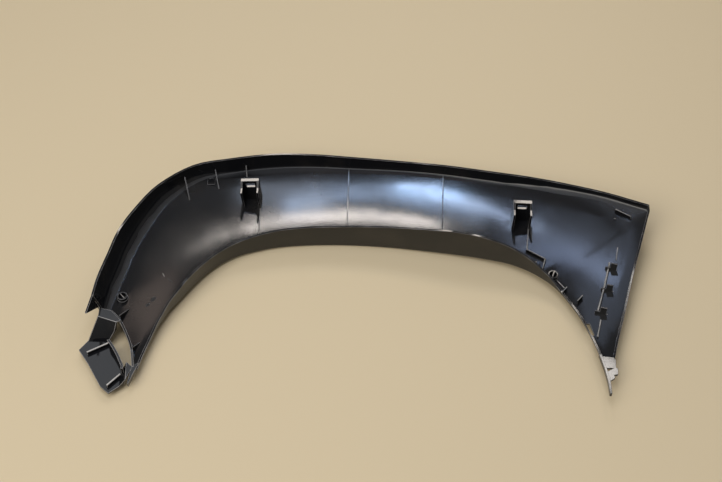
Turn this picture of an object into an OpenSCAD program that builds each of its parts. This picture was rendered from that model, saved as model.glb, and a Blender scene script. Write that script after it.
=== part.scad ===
// Arched exterior trim moulding, lying on its show face with the hidden side up.
// One injection-moulded piece: a C-section arch with an inner lip, an outer flange,
// two clip towers, stiffening ribs, locating bosses and a bracket at the left end.

/* [Shell] */
// Wall thickness of the moulding
wall = 2.5; // [2:0.1:3]
// Radius of the gentle bow along the length, which follows the vehicle side
bow_r = 2600; // [2200:50:3200]
// Radius of the dish across the width of the panel
dish_r = 900; // [800:50:2500]
// Draft angle of the inner lip
lip_draft = 3; // [1:0.5:4]
// How far the free corner of the outer flange reaches past its root at the left end
end_rake = 25; // [10:1:30]

/* [Clip towers] */
// Width of a clip tower
tower_w = 22; // [18:0.5:26]
// Length of a clip tower across the panel
tower_len = 20; // [16:0.5:24]
// Height of a clip tower above the panel
tower_h = 32; // [24:0.5:36]
// Wall thickness of a clip tower
tower_wall = 2.4; // [2:0.1:3]
// Width of the window that the clip snaps into
window_w = 10.5; // [8:0.5:14]
// Height of the window that the clip snaps into
window_h = 6; // [4:0.5:12]

/* [Ribs and bosses] */
// Thickness of the stiffening ribs
rib_t = 1.3; // [1:0.1:2]
// Height of the long ribs above the panel
rib_h = 2; // [1:0.5:5]
// Outer diameter of the locating bosses
boss_d = 11.5; // [9:0.5:14]
// Height of the locating bosses above the panel
boss_h = 6; // [4:0.5:9]
// Height of the clip tabs along the comb rib
comb_h = 12.5; // [8:0.5:15]
// Width of a clip tab on the comb rib
comb_w = 7.5; // [6:0.5:11]

/* [Left bracket] */
// Height of the bracket floor above the lowest point of the part
floor_z = 10; // [6:0.5:14]
// Height of the end land above the lowest point of the part
land_z = 31; // [28:0.5:34]
// Height of the curved wall above the bracket floor
arc_wall_h = 14; // [8:0.5:18]

/* [Hidden] */
$fn = 48;
plastic = "#1b1c20";

// Lowest point of the bow, and the middle of the outline that the part's origin is under.
bow_x = -15;
middle = [14.25, -57.45];

// Each cross-section of the shell is a row: arch point x, y; edge point x, y;
// lip height, edge height, edge lean and inside corner radius.
left_rows = [
    [-244, -194, -250.5, -192.5, 4, 6, 0, 0.5],
    [-240.5, -178, -252.2, -177.5, 5, 12.6, 0, 0.8],
    [-236.5, -164, -255.6, -166, 6, 13.6, 0, 1],
    [-231.5, -147, -262.4, -151.2, 8, 14.6, 0, 1],
    [-227, -133.5, -270.2, -137.8, 11, 15.5, 0, 1.5],
    [-223, -124.5, -280, -127.5, 13, 14.4, 0, 1.5],
    [-220, -117.5, -290.8, -124.8, 15, 12.4, 0, 2]
];
top_rows = [
    [-217, -111, -293.5, -121.5, 17, 34, 9, 10],
    [-208, -97, -290.5, -95, 21, 34, 9, 11],
    [-197, -79.5, -284, -62, 24, 34, 8, 12],
    [-184, -61, -277, -27, 24, 33, 7, 12],
    [-168, -43.5, -264, 10, 25, 30, 5, 12],
    [-148, -29, -243, 52, 27, 25, 3, 11],
    [-124, -19.5, -205, 88.5, 31, 22, 2, 8],
    [-97, -12.5, -160, 102, 34, 23, 3, 3],
    [-65, -9, -110, 112, 36, 23, 3, 2.5],
    [-30, -8, -60, 115, 37, 21, 3, 2.5],
    [5, -9.5, -5, 112.5, 39, 18.5, 3, 2.5],
    [40, -13, 50, 108, 41, 16, 3, 2.5],
    [75, -18.5, 103, 99.5, 43, 16, 3, 2.5],
    [110, -25, 155, 87, 45, 16, 4, 3.5],
    [142, -32.5, 205, 75.5, 42, 14, 4, 6],
    [172, -42, 250, 62, 34, 11, 4, 8],
    [196, -55.5, 295, 43.5, 24, 9, 4, 6],
    [213, -70, 340, 17, 15, 9, 4, 5]
];
right_rows = [
    [216, -73, 341.5, 13, 14, 2.7, 0, 0.4],
    [226, -86, 327, -30, 7, 2.7, 0, 0.4],
    [236, -104, 311, -77, 5, 2.7, 0, 0.4],
    [247, -128, 297.5, -121, 5, 2.7, 0, 0.4],
    [257, -160, 285.5, -158, 5, 2.7, 0, 0.4],
    [262.5, -184, 277, -187, 5, 2.7, 0, 0.4]
];

// A smooth curve through a list of rows, at position s.
function curve(rows, s) =
    let (last = len(rows) - 1,
         i = min(max(floor(s), 0), last - 1),
         f = s - i,
         a = rows[max(i - 1, 0)],
         b = rows[i],
         c = rows[i + 1],
         d = rows[min(i + 2, last)])
    0.5 * (2 * b + (c - a) * f + (2 * a - 5 * b + 4 * c - d) * f * f + (3 * b - a - 3 * c + d) * f * f * f);

function unit(v) = v / norm(v);
function left_of(v) = [-v[1], v[0]];
function arch_of(row) = [row[0], row[1]];
function edge_of(row) = [row[2], row[3]];
function lift(p, z) = [p[0], p[1], z];
function turned(v, angle) = [v[0] * cos(angle) - v[1] * sin(angle), v[0] * sin(angle) + v[1] * cos(angle)];

// Height of the show face under a plan point: a bow along the length and a dish away from the arch.
all_rows = concat(left_rows, top_rows, right_rows);
arch_line = [for (s = [0 : 0.25 : len(all_rows) - 1]) arch_of(curve(all_rows, s))];
function arch_gap(p) = min([for (q = arch_line) norm([p[0] - q[0], p[1] - q[1]])]);
function skin(p) = pow(p[0] - bow_x, 2) / (2 * bow_r) + pow(arch_gap(p), 2) / (2 * dish_r);
function on_skin(p, up = 0) = [p[0], p[1], skin(p) + up];
function mix(a, b, t) = a * (1 - t) + b * t;
function bend(a, c, b, steps) =
    [for (i = [0 : steps]) let (t = i / steps) mix(mix(a, c, t), mix(c, b, t), t)];

// One closed cross-section: down the lip, along the show face, up the flange and back inside.
function section(rows, s) =
    let (row = curve(rows, s),
         fore = curve(rows, min(s + 0.02, len(rows) - 1)),
         aft = curve(rows, max(s - 0.02, 0)),
         arch = arch_of(row),
         edge = edge_of(row),
         in = left_of(unit(arch_of(fore) - arch_of(aft))),
         out = unit(left_of(unit(edge_of(fore) - edge_of(aft))) + unit(edge - arch)),
         lip = row[4],
         rise = max(row[5], wall + 0.2),
         lean = tan(row[6]),
         draft = tan(lip_draft),
         span = norm(edge - arch),
         arch_in = arch + in * wall,
         edge_in = edge - out * wall,
         span_in = norm(edge_in - arch_in),
         r_lip = min(3.5, 0.6 * lip, 0.3 * span),
         r_out = min(row[7] + wall, 0.4 * span),
         r_in = min(row[7], 0.35 * span_in),
         up_out = min(r_out, 0.6 * rise),
         up_in = min(r_in, 0.6 * (rise - wall)),
         r_foot = min(1, 0.5 * (lip - wall)),
         base_a = skin(arch),
         base_b = skin(edge),
         top_b = edge + out * rise * lean)
    concat(
        [lift(arch - in * lip * draft, base_a + lip)],
        bend(lift(arch - in * r_lip * draft, base_a + r_lip), lift(arch, base_a),
             on_skin(mix(arch, edge, r_lip / span)), 3),
        [for (i = [1 : 4]) on_skin(mix(arch, edge, mix(r_lip / span, 1 - r_out / span, i / 5)))],
        bend(on_skin(mix(arch, edge, 1 - r_out / span)), lift(edge, base_b),
             lift(edge + out * up_out * lean, base_b + up_out), 4),
        [lift(top_b, base_b + rise)],
        [lift(top_b - out * wall, base_b + rise)],
        bend(lift(edge_in + out * up_in * lean, skin(edge_in) + wall + up_in), on_skin(edge_in, wall),
             on_skin(mix(arch_in, edge_in, 1 - r_in / span_in), wall), 4),
        [for (i = [4 : -1 : 1])
            on_skin(mix(arch_in, edge_in, mix(r_foot / span_in, 1 - r_in / span_in, i / 5)), wall)],
        bend(on_skin(mix(arch_in, edge_in, r_foot / span_in), wall), on_skin(arch_in, wall),
             lift(arch_in - in * r_foot * draft, skin(arch_in) + wall + r_foot), 2),
        [lift(arch_in - in * lip * draft, base_a + lip)]
    );

// The shell: every section joined to the next, with the two ends closed.
module shell() {
    steps_side = 3;
    steps_top = 4;
    sections = concat(
        [for (i = [0 : steps_side * (len(left_rows) - 1)]) section(left_rows, i / steps_side)],
        [for (i = [0 : steps_top * (len(top_rows) - 1)]) section(top_rows, i / steps_top)],
        [for (i = [0 : steps_side * (len(right_rows) - 1)]) section(right_rows, i / steps_side)]
    );
    n = len(sections[0]);
    m = len(sections);
    points = [for (ring = sections) each ring];
    sides = [for (j = [0 : m - 2], i = [0 : n - 1])
        let (a = j * n + i, b = j * n + (i + 1) % n, c = a + n, d = b + n) each [[a, c, b], [b, c, d]]];
    cap = concat([for (i = [0 : 12]) [i, i + 1, n - 2 - i, n - 1 - i]], [[13, 14, 15]]);
    far_cap = [for (face = cap) [for (i = [len(face) - 1 : -1 : 0]) (m - 1) * n + face[i]]];
    polyhedron(points = points, faces = concat(sides, cap, far_cap), convexity = 8);
}

// Tapered end of the outer flange, which reaches over the bracket.
module flange_tail() {
    root = top_rows[0];
    run = edge_of(top_rows[1]) - edge_of(root);
    splay = 2;
    low = root[7] + wall + 1;
    high = root[5] + 0.2;
    translate([root[2], root[3], skin(edge_of(root))])
        rotate([0, 0, atan2(run[1], run[0]) - splay]) rotate([-root[6], 0, 0])
            translate([0, -0.15, 0]) rotate([90, 0, 0]) linear_extrude(wall - 0.5)
                polygon([[4, low], [4, high], [-end_rake, high], [-end_rake, high - 1.2], [-1.5, low]]);
}

// A thin wall that stands on the panel along a straight line, with its foot following the surface.
module fin(from, to, h_from, h_to, t = rib_t) {
    run = norm(to - from);
    steps = max(2, ceil(run / 12));
    foot = [for (i = [0 : steps]) [run * i / steps, skin(mix(from, to, i / steps)) + wall / 2]];
    head = [for (i = [steps : -1 : 0])
        [run * i / steps, skin(mix(from, to, i / steps)) + wall + mix(h_from, h_to, i / steps)]];
    translate([from[0], from[1], 0])
        rotate([90, 0, atan2(to[1] - from[1], to[0] - from[0])])
            translate([0, 0, -t / 2])
                linear_extrude(t) polygon(concat(foot, head));
}

// Clip tower: a back wall with a snap window under a top bar, and two side walls with a ledge each.
// It is placed by the middle of its top, turns about the upright and leans sideways from there.
module tower(at, turn, lean) {
    top = skin(at) + wall + tower_h;
    drop = tower_h + wall / 2;
    half = tower_len / 2;
    bar = [4.8, 4.5];
    back = 3.2;
    ledge = [8.3, 4.8];
    function foot(x, y) = skin(at + turned([x + drop * sin(lean), y], turn)) + wall / 2 - top;
    translate([at[0], at[1], top]) rotate([0, -lean, turn]) {
        for (x = [-tower_w / 2, tower_w / 2 - tower_wall])
            translate([x, 0, 0]) rotate([90, 0, 90]) linear_extrude(tower_wall)
                polygon(concat([for (i = [-2 : 2]) [half * i / 2, foot(x + tower_wall / 2, half * i / 2)]],
                    [[half, 0], [half - bar[0], 0], [ledge[0] - half, -ledge[1]], [-half, -ledge[1]]]));
        difference() {
            translate([0, half - bar[0] + back, 0]) rotate([90, 0, 0]) linear_extrude(back)
                polygon(concat([for (i = [-2 : 2]) [tower_w * i / 4, foot(tower_w * i / 4, half - bar[0] + back / 2)]],
                    [[tower_w / 2, 0], [-tower_w / 2, 0]]));
            translate([-window_w / 2, half - bar[0] - 1, -bar[1] - window_h]) cube([window_w, back + 2, window_h]);
        }
        translate([-tower_w / 2, half - bar[0], -bar[1]]) cube([tower_w, bar[0], bar[1]]);
    }
}

// Locating boss: a short tube on a slightly wider foot, with a cross rib inside it.
module boss(at, turn) {
    foot_h = 2;
    foot_step = 0.5;
    translate([at[0], at[1], skin(at) + wall / 2]) {
        difference() {
            union() {
                cylinder(d = boss_d, h = boss_h + wall / 2);
                cylinder(d = boss_d + 2 * foot_step, h = foot_h + wall / 2);
            }
            translate([0, 0, wall / 2]) cylinder(d = boss_d - 2 * rib_t, h = boss_h + 1);
        }
        rotate([0, 0, turn]) translate([-boss_d / 2 + 0.6, -rib_t / 2, 0])
            cube([boss_d - 1.2, rib_t, boss_h + wall / 2]);
    }
}

// Clip tab of the comb rib, with a low shoulder each side.
module comb_tab(at, turn) {
    base = skin(at) + wall / 2;
    translate([at[0], at[1], base]) rotate([0, 0, turn]) {
        translate([2.2, -rib_t / 2, 0]) cube([comb_w, rib_t, comb_h + wall / 2]);
        translate([-3.2, -rib_t / 2, 0]) cube([6, rib_t, 4.5 + wall / 2]);
        translate([0, -rib_t / 2, 0]) cube([comb_w + 4, rib_t, 2 + wall / 2]);
    }
}

// Comb rib with its three clip tabs, near the free edge of the right-hand end.
module comb() {
    feet = [[284.8, -61.4], [276.6, -90.4], [266.2, -121.2]];
    for (foot = feet) comb_tab(foot, -15);
    fin([287.6, -53.5], feet[1], 3, 3.5, 2);
    fin(feet[1], feet[2], 3.5, 3.5, 2);
    fin([268.6, -132], [262.3, -155], 2.5, 2.5, 1.8);
    fin([299.6, -32], [295.6, -50.5], 0.6, 0.6);
}

// Long ribs across the panel, from the flange root to the inner lip.
module cross_ribs() {
    fin([-122.5, 47], [-123.2, -15], rib_h, rib_h + 1);
    fin([-15, 109], [-17.5, -5], rib_h, rib_h + 1);
    fin([102, 95], [96, -18], rib_h, rib_h + 1);
    fin([200, 8], [195.5, -26], rib_h, 4);
}

// Gussets at the root of the outer flange, and the raised pad beside one of them.
module flange_gussets() {
    fin([-215, 76], [-208.5, 52], 12, 0.6);
    fin([-179.5, 93], [-174.5, 72], 10, 1);
    fin([-142.3, 103], [-141, 91], 9, 3);
    fin([302, 19], [319, 6.5], 6, 4);
    fin([299.5, 9], [302, 8], 2, 2);
    pad = skin([-184, 82]) + wall;
    translate([-189, 77, pad - 2]) cube([9.5, 10, 3]);
}

// Stepped rib, stops and gussets along the inner lip of the right-hand end.
module lip_stops() {
    fin([194.5, -25.4], [215.7, -41.9], 4.5, 4.5);
    fin([215.2, -40.5], [210.8, -55.8], 4, 4);
    fin([205, -42.5], [202.5, -48.5], 2.5, 2.5);
    fin([235.6, -85.4], [229.9, -92], 6, 6);
    fin([251.8, -98.8], [245.1, -106.2], 6, 6);
    fin([226, -71.5], [233.5, -83.5], 1.2, 1.2);
}

// Flat tab under the right-hand end, slit from the lip side, and the narrow lip end beside it.
module right_tab() {
    tab = [[262, -182], [276, -184], [278, -187], [277, -197], [279, -199], [278, -206], [274, -207],
           [274, -211], [268, -215], [267, -202.5], [274, -198], [265, -198]];
    lip_end = [[260.5, -180], [263.5, -180], [267, -200], [268.8, -216], [268.5, -231], [266, -231],
               [265.8, -215], [264, -198]];
    translate([0, 0, 18.5]) linear_extrude(3) polygon(tab);
    translate([0, 0, 16.5]) linear_extrude(5.5) polygon(lip_end);
}

// Slot through the panel beside the lip of the right-hand end.
module lip_slot() {
    translate([0, 0, 5]) linear_extrude(30) polygon([[251, -135], [256, -134.5], [259.5, -151], [256, -152.5]]);
}

// Bracket at the left end: land, sloping wall, floor, curved wall and two ribs.
module left_bracket() {
    land = [[-292.3, -122.5], [-289.9, -124], [-278.9, -126.9], [-269, -137.5], [-266.5, -141.5],
            [-270.5, -142.4], [-275.3, -138.6], [-282.4, -135.8], [-292.5, -133.8]];
    brow = [[-292.5, -132.5], [-282.4, -134.5], [-275.3, -137.5], [-270.5, -141], [-271, -143], [-292.5, -135]];
    bulge = [[-273.5, -144.5], [-271.9, -146.5], [-274, -148.5]];
    toe = [[-304, -151.5], [-281.3, -152], [-281.3, -154.5], [-304, -154.5]];
    plate = [[-304, -153], [-313, -166], [-304, -179], [-300.5, -184], [-283, -214], [-273, -223],
             [-262.3, -214], [-257.5, -200], [-257.5, -196], [-264.5, -182], [-271, -171.5], [-279, -160.5],
             [-281.3, -153]];
    arc_wall = [[-277.5, -161], [-271, -170.5], [-264.8, -181], [-257.8, -196], [-257.8, -200], [-260.6, -200],
                [-260.6, -196.5], [-267.4, -182.5], [-273.4, -172], [-280, -162.5]];
    bridge_high = [[-257, -185.5], [-250.5, -191.5], [-251.5, -197], [-255.5, -209]];
    bridge_low = [[-263, -200], [-258.8, -190], [-257, -210], [-262.3, -214]];
    floor_ribs = [[[-302.5, -172], [-280.5, -159.5]], [[-275, -215.5], [-262, -200.5]]];
    translate([0, 0, land_z - wall]) linear_extrude(wall) polygon(land);
    hull() {
        translate([0, 0, land_z - wall]) linear_extrude(wall) polygon(brow);
        translate([0, 0, mix(floor_z, land_z, 0.5)]) linear_extrude(1) polygon(bulge);
        translate([0, 0, floor_z - wall]) linear_extrude(wall) polygon(toe);
    }
    translate([0, 0, floor_z - wall]) linear_extrude(wall) polygon(plate);
    translate([0, 0, floor_z - wall]) linear_extrude(wall + arc_wall_h) polygon(arc_wall);
    for (line = floor_ribs)
        translate([line[0][0], line[0][1], floor_z - wall])
            rotate([0, 0, atan2(line[1][1] - line[0][1], line[1][0] - line[0][0])])
                translate([0, -1, 0]) cube([norm(line[1] - line[0]), 2, 4.5 + wall]);
    hull() {
        translate([0, 0, 13]) linear_extrude(wall) polygon(bridge_high);
        translate([0, 0, floor_z - wall]) linear_extrude(wall) polygon(bridge_low);
    }
}

// Narrow end of the left-hand leg, and the two gussets behind the bracket.
module left_leg_end() {
    translate([0, 0, 10.5]) linear_extrude(6)
        polygon([[-242.8, -188], [-247.6, -201.4], [-251.5, -215], [-253, -214], [-251, -197], [-249.5, -190]]);
    fin([-262.5, -113], [-270, -131], 0.6, 11);
    fin([-246, -158], [-253, -174], 0.6, 11);
}

module pillar_trim() {
    color(plastic) translate([-middle[0], -middle[1], 0]) {
        difference() {
            shell();
            lip_slot();
        }
        flange_tail();
        left_bracket();
        left_leg_end();
        right_tab();
        tower([-134.6, 55.1], -2, 4.5);
        tower([191.6, 15.6], -2, -1.5);
        boss([-271, -100], -50);
        boss([221.8, -66.2], 70);
        comb();
        cross_ribs();
        flange_gussets();
        lip_stops();
    }
}

pillar_trim();
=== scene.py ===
import bpy
import bmesh
import math
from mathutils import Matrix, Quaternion, Vector
from mathutils.kdtree import KDTree


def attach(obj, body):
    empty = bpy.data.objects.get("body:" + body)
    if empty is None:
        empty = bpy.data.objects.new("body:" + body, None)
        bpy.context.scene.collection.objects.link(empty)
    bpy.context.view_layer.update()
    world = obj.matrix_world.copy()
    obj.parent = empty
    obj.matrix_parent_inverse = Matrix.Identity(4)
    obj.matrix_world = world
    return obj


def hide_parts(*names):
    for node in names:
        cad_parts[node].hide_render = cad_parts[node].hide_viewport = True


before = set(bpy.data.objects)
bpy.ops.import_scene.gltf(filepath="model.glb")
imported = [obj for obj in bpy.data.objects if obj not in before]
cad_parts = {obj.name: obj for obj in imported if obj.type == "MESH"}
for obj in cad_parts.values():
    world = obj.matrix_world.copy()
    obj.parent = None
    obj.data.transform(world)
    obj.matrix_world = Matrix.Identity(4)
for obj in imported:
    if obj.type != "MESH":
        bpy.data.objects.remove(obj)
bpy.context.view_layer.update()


def hexToLinear(code):  # sRGB hex to the linear colour that the shaders take
    channels = [int(code[i:i + 2], 16) / 255 for i in (1, 3, 5)]
    return [c / 12.92 if c <= 0.04045 else ((c + 0.055) / 1.055) ** 2.4 for c in channels] + [1.0]


def addNode(tree, kind, settings=None, links=None):  # one node, its settings and what feeds it
    node = tree.nodes.new(kind)
    for name, value in (settings or {}).items():
        if hasattr(node, name):
            setattr(node, name, value)
        else:
            node.inputs[name].default_value = value
    for name, source in (links or {}).items():
        tree.links.new(source, node.inputs[name])
    return node


def newMaterial(name):
    material = bpy.data.materials.new(name)
    material.use_nodes = True
    tree = material.node_tree
    return material, tree, tree.nodes["Principled BSDF"]


print("materials")

# Black polypropylene, injection moulded, satin: lamps show as broad soft glows. The panel is a little
# wavy from shrinking in the mould, and handling leaves a film of dust in places and a few marks. The
# hollow slope along the foot of a wall is set duller, so that its narrow facets don't mirror the lamps
# as one jagged line.
mouldedBlack = {
    "black": "#17181b",
    "dust": "#6f665a",
    "dustFrom": 0.52,  # dust begins where the cloud pattern is above this
    "dustFull": 0.80,
    "dustMost": 0.10,
    "roughness": 0.08,
    "roughnessSpread": 0.03,
    "hollowRoughness": 0.5,
    "hollowLevels": (0.974, 0.945),  # 1 is level: the hollow begins at the first and is dull at the second
    "wallLevels": (0.75, 0.85),  # below the first it is a wall, which is satin again
    "ior": 1.5,
    "grainMm": 2.2,  # the real grain is about 0.3 mm, drawn coarser so that it shows
    "grainHighMm": 0.2,
    "grainStrength": 0.05,
    "cloudMm": 55,
    "cloudRange": (0.3, 0.7),  # the part of the cloud pattern over which the roughness changes
    "waveMm": 38,
    "waveHighMm": 0.05,
    "markEdge": 0.5,  # how far in from its rim a mark reaches its full cover
    "markCover": 0.8,
}
# Marks on the left leg: middle and half lengths in mm, turn in degrees.
markList = [
    {"at": (-243.4, -4.3, 12.1), "half": (4.2, 0.7, 2.2), "turn": -64,
     "colour": "#8d8b87", "roughness": 0.5},
    {"at": (-235.2, -11.9, 11.0), "half": (6.5, 0.8, 2.2), "turn": -50,
     "colour": "#0a0a0b", "roughness": 0.6},
    {"at": (-251.6, -39.6, 12.4), "half": (5.0, 2.6, 2.2), "turn": 62,
     "colour": "#0a0a0b", "roughness": 0.6},
    {"at": (-256.8, -47.9, 12.8), "half": (4.2, 2.0, 2.2), "turn": 50,
     "colour": "#0a0a0b", "roughness": 0.6},
]


def makeMouldedBlack(plan, marks):  # sockets 6 and 7 of a Mix are its colours, and 2 and 3 its numbers
    material, tree, shader = newMaterial("mouldedBlackPolypropylene")
    place = addNode(tree, "ShaderNodeTexCoord").outputs["Object"]
    cloud = addNode(tree, "ShaderNodeTexNoise",
                    {"Scale": 1000 / plan["cloudMm"], "Detail": 4.0, "Roughness": 0.55}, {"Vector": place})
    grain = addNode(tree, "ShaderNodeTexNoise",
                    {"Scale": 1000 / plan["grainMm"], "Detail": 2.0}, {"Vector": place})
    wave = addNode(tree, "ShaderNodeTexNoise",
                   {"Scale": 1000 / plan["waveMm"], "Detail": 1.0, "Roughness": 0.3}, {"Vector": place})
    dustAmount = addNode(tree, "ShaderNodeMapRange",
                         {"From Min": plan["dustFrom"], "From Max": plan["dustFull"],
                          "To Min": 0.0, "To Max": plan["dustMost"]},
                         {"Value": cloud.outputs["Fac"]})
    dusty = addNode(tree, "ShaderNodeMix", {"data_type": "RGBA"}, {"Factor": dustAmount.outputs["Result"]})
    dusty.inputs[6].default_value = hexToLinear(plan["black"])
    dusty.inputs[7].default_value = hexToLinear(plan["dust"])
    cloudLow, cloudHigh = plan["cloudRange"]
    rough = addNode(tree, "ShaderNodeMapRange",
                    {"From Min": cloudLow, "From Max": cloudHigh,
                     "To Min": plan["roughness"] - plan["roughnessSpread"] / 2,
                     "To Max": plan["roughness"] + plan["roughnessSpread"] / 2},
                    {"Value": cloud.outputs["Fac"]})
    normal = addNode(tree, "ShaderNodeNewGeometry").outputs["Normal"]
    level = addNode(tree, "ShaderNodeSeparateXYZ", {}, {"Vector": normal}).outputs["Z"]
    hollowFrom, hollowFull = plan["hollowLevels"]
    wallFull, wallFrom = plan["wallLevels"]
    tilted = addNode(tree, "ShaderNodeMapRange", {"From Min": hollowFrom, "From Max": hollowFull},
                     {"Value": level})
    upward = addNode(tree, "ShaderNodeMapRange", {"From Min": wallFull, "From Max": wallFrom},
                     {"Value": level})
    hollow = addNode(tree, "ShaderNodeMath", {"operation": "MULTIPLY"})
    tree.links.new(tilted.outputs["Result"], hollow.inputs[0])
    tree.links.new(upward.outputs["Result"], hollow.inputs[1])
    dull = addNode(tree, "ShaderNodeMix", {"data_type": "FLOAT"}, {"Factor": hollow.outputs["Value"]})
    tree.links.new(rough.outputs["Result"], dull.inputs[2])
    dull.inputs[3].default_value = plan["hollowRoughness"]
    colour, roughness = dusty.outputs[2], dull.outputs[0]
    for mark in marks:  # each mark is a soft oval, laid over the colour and the roughness
        oval = addNode(tree, "ShaderNodeMapping", {"vector_type": "TEXTURE"}, {"Vector": place})
        oval.inputs["Location"].default_value = [v / 1000 for v in mark["at"]]
        oval.inputs["Rotation"].default_value = (0, 0, math.radians(mark["turn"]))
        oval.inputs["Scale"].default_value = [v / 1000 for v in mark["half"]]
        fade = addNode(tree, "ShaderNodeTexGradient", {"gradient_type": "SPHERICAL"},
                       {"Vector": oval.outputs["Vector"]})
        cover = addNode(tree, "ShaderNodeMapRange",
                        {"From Max": plan["markEdge"], "To Max": plan["markCover"]},
                        {"Value": fade.outputs["Fac"]})
        tint = addNode(tree, "ShaderNodeMix", {"data_type": "RGBA"}, {"Factor": cover.outputs["Result"]})
        tree.links.new(colour, tint.inputs[6])
        tint.inputs[7].default_value = hexToLinear(mark["colour"])
        matt = addNode(tree, "ShaderNodeMix", {"data_type": "FLOAT"}, {"Factor": cover.outputs["Result"]})
        tree.links.new(roughness, matt.inputs[2])
        matt.inputs[3].default_value = mark["roughness"]
        colour, roughness = tint.outputs[2], matt.outputs[0]
    tree.links.new(colour, shader.inputs["Base Color"])
    tree.links.new(roughness, shader.inputs["Roughness"])
    wavy = addNode(tree, "ShaderNodeBump", {"Strength": 1.0, "Distance": plan["waveHighMm"] / 1000},
                   {"Height": wave.outputs["Fac"]})
    bump = addNode(tree, "ShaderNodeBump",
                   {"Strength": plan["grainStrength"], "Distance": plan["grainHighMm"] / 1000},
                   {"Height": grain.outputs["Fac"], "Normal": wavy.outputs["Normal"]})
    tree.links.new(bump.outputs["Normal"], shader.inputs["Normal"])
    shader.inputs["IOR"].default_value = plan["ior"]
    return material


blackPlastic = makeMouldedBlack(mouldedBlack, markList)

# The same plastic with a painted highlight, for the light that small roundings catch: corners and the tops
# of low ribs are painted paler and set a little rougher. Paler in patches, and most of all round the
# bracket.
brightEdgeSpot = {"at": (-300, -118, 18), "reachMm": 75}
paintedEdgeHighlight = {"name": "edgeHighlightPolypropylene", "black": "#3c3c3f", "highlight": "#a8a6a6", "patchMm": 14,
                "highlightFrom": 0.35, "highlightFull": 0.95, "roughness": 0.28, "roughnessSpread": 0.1,
                "grainMm": 2.2, "grainHighMm": 0.2, "grainStrength": 0.08}
# on the tops of low ribs the painted highlight is paler still
paintedRibHighlight = {**paintedEdgeHighlight, "name": "ribHighlightPolypropylene", "black": "#6c6b6a", "highlight": "#c2c0bc",
             "patchMm": 9, "roughness": 0.30}


def makeEdgeHighlightPlastic(plan, spot):  # painted highlight: patches where the black is painted more or less pale
    material, tree, shader = newMaterial(plan["name"])
    place = addNode(tree, "ShaderNodeTexCoord").outputs["Object"]
    patch = addNode(tree, "ShaderNodeTexNoise", {"Scale": 1000 / plan["patchMm"], "Detail": 3.0},
                    {"Vector": place})
    highlightCentre = addNode(tree, "ShaderNodeMapping", {"vector_type": "TEXTURE"}, {"Vector": place})
    highlightCentre.inputs["Location"].default_value = [v / 1000 for v in spot["at"]]
    highlightCentre.inputs["Scale"].default_value = [spot["reachMm"] / 1000] * 3
    near = addNode(tree, "ShaderNodeTexGradient", {"gradient_type": "SPHERICAL"},
                   {"Vector": highlightCentre.outputs["Vector"]})
    amount = addNode(tree, "ShaderNodeMath", {"operation": "ADD"})
    tree.links.new(patch.outputs["Fac"], amount.inputs[0])
    tree.links.new(near.outputs["Fac"], amount.inputs[1])
    highlightAmount = addNode(tree, "ShaderNodeMapRange",
                   {"From Min": plan["highlightFrom"], "From Max": plan["highlightFull"]},
                   {"Value": amount.outputs["Value"]})
    # the painted highlight, blended from a pale black to a paler colour
    blend = addNode(tree, "ShaderNodeMix", {"data_type": "RGBA"}, {"Factor": highlightAmount.outputs["Result"]})
    blend.inputs[6].default_value = hexToLinear(plan["black"])
    blend.inputs[7].default_value = hexToLinear(plan["highlight"])
    tree.links.new(blend.outputs[2], shader.inputs["Base Color"])
    rough = addNode(tree, "ShaderNodeMapRange",
                    {"To Min": plan["roughness"] - plan["roughnessSpread"] / 2,
                     "To Max": plan["roughness"] + plan["roughnessSpread"] / 2},
                    {"Value": highlightAmount.outputs["Result"]})
    tree.links.new(rough.outputs["Result"], shader.inputs["Roughness"])
    grain = addNode(tree, "ShaderNodeTexNoise", {"Scale": 1000 / plan["grainMm"]}, {"Vector": place})
    bump = addNode(tree, "ShaderNodeBump",
                   {"Strength": plan["grainStrength"], "Distance": plan["grainHighMm"] / 1000},
                   {"Height": grain.outputs["Fac"]})
    tree.links.new(bump.outputs["Normal"], shader.inputs["Normal"])
    return material


edgeHighlight = makeEdgeHighlightPlastic(paintedEdgeHighlight, brightEdgeSpot)
ribHighlightPlastic = makeEdgeHighlightPlastic(paintedRibHighlight, brightEdgeSpot)

print("moulding")

# The CAD solid merged into one skin with small rounded edges. The large faces share one evened-out
# shading direction, so that the panel reflects as one curved surface and not as the facets it is cut into.
mouldingShape = {
    "mergeMm": 0.01,
    "flatDeg": 0.4,
    "sharpDeg": 50,
    "roundMm": 0.35,
    "roundDeg": 35,  # only outer corners sharper than this are rounded
    "roundSteps": 2,
    "ribTopMm": 2.1,  # a rib's top is no wider than this
    "ribLevel": 0.98,  # and no further from level, which is 1
    "ribCornerShare": 0.6,  # and this much of its outline is outer corners
    "ribHighMm": 8,  # taller ones are clip tabs, which stay dark
    "likeDeg": 30,  # neighbours that tilt more than this apart don't share a direction
    "largeShare": 0.4,  # nor does one with less than this share of the largest neighbour's area
    "evenMm": 6,  # how far around a point the shading direction is averaged
    "evenReach": 2.5,  # and where the averaging stops, as a multiple of it
    "evenDeg": 24,
    "evenStepMm": 0.8,  # surfaces further apart than this don't share a direction
    "evenAreaMm2": 3,
    "ownShare": 0.05,  # how much of its own direction a face keeps
}
bodySlot, edgeSlot, ribSlot = 0, 1, 2  # the moulding's three materials


def panelSamples(form):  # middle, direction and area of every triangle of the CAD skin
    solid = form.copy()
    bmesh.ops.triangulate(solid, faces=solid.faces)
    samples = [(face.calc_center_median(), face.normal.copy(), face.calc_area()) for face in solid.faces]
    solid.free()
    tree = KDTree(len(samples))
    for index, sample in enumerate(samples):
        tree.insert(sample[0], index)
    tree.balance()
    return samples, tree


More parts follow.
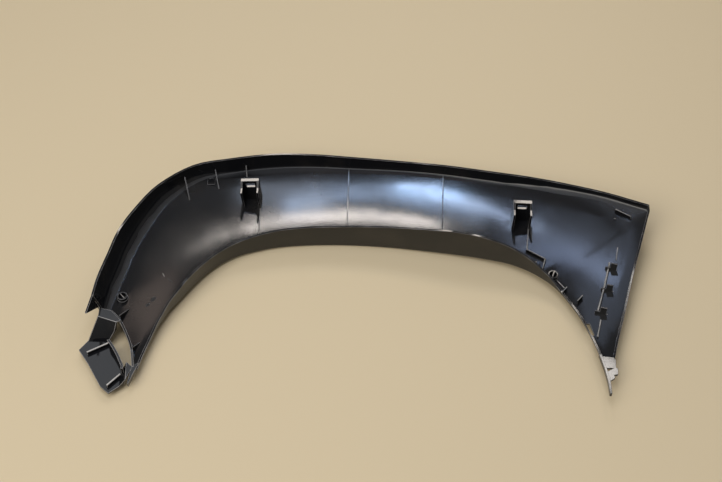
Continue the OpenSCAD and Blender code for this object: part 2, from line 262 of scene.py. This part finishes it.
def evenDirection(place, face, samples, tree, plan):
    if face.calc_area() < plan["evenAreaMm2"] * 1e-6:
        return face.normal
    spread = plan["evenMm"] / 1000
    alike = math.cos(math.radians(plan["evenDeg"]))
    total = face.normal * face.calc_area() * plan["ownShare"]
    for middle, index, gap in tree.find_range(place, plan["evenReach"] * spread):
        direction, area = samples[index][1:]
        step = abs((middle - place).dot(face.normal))
        if direction.dot(face.normal) > alike and step < plan["evenStepMm"] / 1000:
            total += direction * (area * math.exp(-gap * gap / (2 * spread * spread)))
    return total.normalized()


def cornerDirections(form, samples, tree, plan):  # one shading direction for every corner of every face
    alike = math.cos(math.radians(plan["likeDeg"]))
    found = {}
    for vert in form.verts:
        waiting = set(vert.link_faces)
        while waiting:
            group, edgeOf = [], [waiting.pop()]  # the faces round this point that no sharp edge divides
            while edgeOf:
                face = edgeOf.pop()
                group.append(face)
                for edge in face.edges:
                    if vert in edge.verts and edge.smooth:
                        near = [other for other in edge.link_faces if other in waiting]
                        waiting.difference_update(near)
                        edgeOf.extend(near)
            parts = [(other.normal, other.calc_area(), evenDirection(vert.co, other, samples, tree, plan))
                     for other in group]
            for face in group:  # a thin rounding bends no flat beside it
                like = [part for part in parts if part[0].dot(face.normal) > alike]
                largest = max((area for tilt, area, direction in like), default=0)
                total = Vector()
                for tilt, area, direction in like:
                    if area > plan["largeShare"] * largest:
                        total += direction * area
                found[face.index, vert.index] = total.normalized() if total.length > 0 else face.normal
    return [found[face.index, loop.vert.index] for face in form.faces for loop in face.loops]


def ribTop(face, corners, plan):  # a narrow level face between two outer corners
    longest = max(edge.calc_length() for edge in face.edges)
    around = sum(edge.calc_length() for edge in face.edges)
    outer = [edge for edge in face.edges if edge in corners]
    if face.normal.z < plan["ribLevel"] or face.calc_area() / longest > plan["ribTopMm"] / 1000:
        return False
    if sum(edge.calc_length() for edge in outer) < plan["ribCornerShare"] * around:
        return False
    sides = [other for edge in outer for other in edge.link_faces if other is not face]
    heights = [vert.co.z for side in sides for vert in side.verts]
    return max(heights) - min(heights) < plan["ribHighMm"] / 1000


def makeMoulding(plan):
    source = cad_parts["pillar_trim"]
    form = bmesh.new()
    form.from_mesh(source.data)
    bmesh.ops.remove_doubles(form, verts=form.verts, dist=plan["mergeMm"] / 1000)
    samples, tree = panelSamples(form)
    bmesh.ops.dissolve_limit(form, angle_limit=math.radians(plan["flatDeg"]), verts=form.verts,
                             edges=form.edges, use_dissolve_boundaries=False)
    corners = {edge for edge in form.edges if edge.is_convex and len(edge.link_faces) == 2
               and edge.calc_face_angle(0) > math.radians(plan["roundDeg"])}
    # rib tops take the material with the painted highlight, the other faces the plain black
    for face in form.faces:
        face.material_index = ribSlot if ribTop(face, corners, plan) else bodySlot
    # the small roundings take the material with the painted edge highlight
    bmesh.ops.bevel(form, geom=list(corners), offset=plan["roundMm"] / 1000, offset_type="OFFSET",
                    segments=plan["roundSteps"], profile=0.5, affect="EDGES", material=edgeSlot,
                    clamp_overlap=False)
    form.normal_update()
    for face in form.faces:
        face.smooth = True
    for edge in form.edges:
        edge.smooth = len(edge.link_faces) == 2 and edge.calc_face_angle(0) < math.radians(plan["sharpDeg"])
    form.verts.index_update()
    form.faces.index_update()
    directions = cornerDirections(form, samples, tree, plan)
    mesh = bpy.data.meshes.new("moulding")
    form.to_mesh(mesh)
    form.free()
    mesh.normals_split_custom_set(directions)
    piece = bpy.data.objects.new("moulding", mesh)
    bpy.context.scene.collection.objects.link(piece)
    for material in (blackPlastic, edgeHighlight, ribHighlightPlastic):  # in the order of the three slots
        mesh.materials.append(material)
    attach(piece, "root")
    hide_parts("pillar_trim")
    print("moulding faces", len(mesh.polygons), "corners rounded", len(corners))


makeMoulding(mouldingShape)

print("camera, floor and lamps")

photoView = {
    "aim": (-0.01425, 0.05745, 0.0),
    "distance": 1.5,
    "elevationDeg": 50,
    "lensMm": 62.33,
    "sensorMm": 36,
}


def makeCamera(plan):
    camera = bpy.data.objects.new("camera", bpy.data.cameras.new("camera"))
    bpy.context.scene.collection.objects.link(camera)
    tilt = math.radians(plan["elevationDeg"])
    back = Vector((0, -math.cos(tilt), math.sin(tilt)))
    camera.location = Vector(plan["aim"]) + back * plan["distance"]
    camera.rotation_euler = (math.radians(90) - tilt, 0, 0)
    camera.data.lens = plan["lensMm"]
    camera.data.sensor_width = plan["sensorMm"]
    bpy.context.scene.camera = camera


makeCamera(photoView)

tableTop = {"size": 12.0, "colour": "#e3d2b0", "roughness": 0.75}


def makeTable(plan):  # painted board, matt, so that it takes a soft shadow and no glare
    bpy.ops.mesh.primitive_plane_add(size=plan["size"], location=(0, 0, 0))
    table = bpy.context.object
    table.name = "table"
    material, tree, shader = newMaterial("paleMattBoard")
    shader.inputs["Base Color"].default_value = hexToLinear(plan["colour"])
    shader.inputs["Roughness"].default_value = plan["roughness"]
    table.data.materials.append(material)


makeTable(tableTop)

# Each lamp is a soft panel that faces the middle of the view. "across" is metres to the right, "rise" is
# degrees above the table, behind the moulding or, with "front", before it, and "away" is metres. "roll"
# turns it, in degrees. The satin black shows each of them as a glow where its curve faces it.
lampList = [
    {"name": "keyPanel", "across": -0.04, "rise": 46.5, "away": 2.5, "size": (0.19, 0.42),
     "colour": "#fff2e6", "radiance": 12},
    {"name": "keyStrip", "across": -0.041, "rise": 53.9, "away": 2.45, "size": (0.19, 0.043), "roll": 9,
     "colour": "#fff6ee", "radiance": 27},
    {"name": "coolStripLow", "across": 0.012, "rise": 54.8, "away": 0.94, "size": (0.222, 0.015), "roll": 9,
     "colour": "#c3dbff", "radiance": 12.6},
    {"name": "coolStripHigh", "across": 0.044, "rise": 56.6, "away": 1.32, "size": (0.067, 0.02), "roll": 7,
     "colour": "#a1cdff", "radiance": 23},
    {"name": "streakLeft", "across": 0.036, "rise": 56.7, "away": 1.272, "size": (0.045, 0.008), "roll": 3,
     "colour": "#c4daff", "radiance": 60},
    {"name": "streakRight", "across": 0.102, "rise": 56.25, "away": 1.267, "size": (0.1, 0.008), "roll": -9,
     "colour": "#c4daff", "radiance": 32},
    {"name": "coolPanelRight", "across": 0.169, "rise": 56.2, "away": 1.53, "size": (0.04, 0.136), "roll": 2,
     "colour": "#bdd3ff", "radiance": 4.9},
    {"name": "coolStripLeft", "across": -0.088, "rise": 54.2, "away": 0.91, "size": (0.077, 0.021),
     "roll": -14, "colour": "#d9e8ff", "radiance": 4.6},
    {"name": "legGlow", "across": -0.241, "rise": 56.4, "away": 2.7, "size": (0.19, 0.133),
     "colour": "#f6dccd", "radiance": 1.6},
    {"name": "bracketGlow", "across": -0.79, "rise": 54.5, "away": 2.5, "size": (0.3, 0.35),
     "colour": "#e9eef5", "radiance": 1.2},
    {"name": "bracketRibs", "across": -0.62, "rise": 44, "away": 2.5, "size": (0.18, 0.14),
     "colour": "#fff5ea", "radiance": 13},
    {"name": "towerTops", "across": 0.40, "rise": 48.2, "away": 1.29, "size": (0.09, 0.17),
     "colour": "#fff5ea", "radiance": 13},
    {"name": "combTops", "across": 0.501, "rise": 51.8, "away": 1.28, "size": (0.07, 0.04),
     "colour": "#fff5ea", "radiance": 16},
    {"name": "endTab", "across": 0.518, "rise": 55.9, "away": 1.26, "size": (0.1, 0.055),
     "colour": "#fff8f0", "radiance": 15},
    {"name": "endGlow", "across": 0.215, "rise": 58.4, "away": 1.25, "size": (0.17, 0.09),
     "colour": "#cfe0ff", "radiance": 1.1},
    {"name": "overhead", "across": -0.2, "rise": 82, "away": 2.5, "size": (1.4, 1.3), "front": True,
     "colour": "#f4f7ff", "radiance": 3.2},
    {"name": "fill", "across": -1.2, "rise": 45, "away": 2.5, "size": (1.6, 1.4), "front": True,
     "colour": "#fffaf2", "radiance": 3.4},
]


def makeLamp(plan):
    lamp = bpy.data.lights.new(plan["name"], "AREA")
    lamp.shape = "RECTANGLE"
    lamp.size, lamp.size_y = plan["size"]
    lamp.color = hexToLinear(plan["colour"])[:3]
    lamp.energy = plan["radiance"] * math.pi * plan["size"][0] * plan["size"][1]
    rise = math.radians(plan["rise"])
    back = math.sqrt(max((plan["away"] * math.cos(rise)) ** 2 - plan["across"] ** 2, 0))
    out = Vector((plan["across"], -back if plan.get("front") else back, plan["away"] * math.sin(rise)))
    body = bpy.data.objects.new(plan["name"], lamp)
    body.location = Vector(photoView["aim"]) + out
    turn = out.to_track_quat("Z", "Y") @ Quaternion((0, 0, 1), math.radians(-plan.get("roll", 0)))
    body.rotation_euler = turn.to_euler()
    bpy.context.scene.collection.objects.link(body)


for lampPlan in lampList:
    makeLamp(lampPlan)

roomLight = {"colour": "#f4efe8", "strength": 0.2}
world = bpy.data.worlds.new("room")
world.use_nodes = True
world.node_tree.nodes["Background"].inputs["Color"].default_value = hexToLinear(roomLight["colour"])
world.node_tree.nodes["Background"].inputs["Strength"].default_value = roomLight["strength"]
bpy.context.scene.world = world
bpy.context.scene.view_settings.view_transform = "Standard"
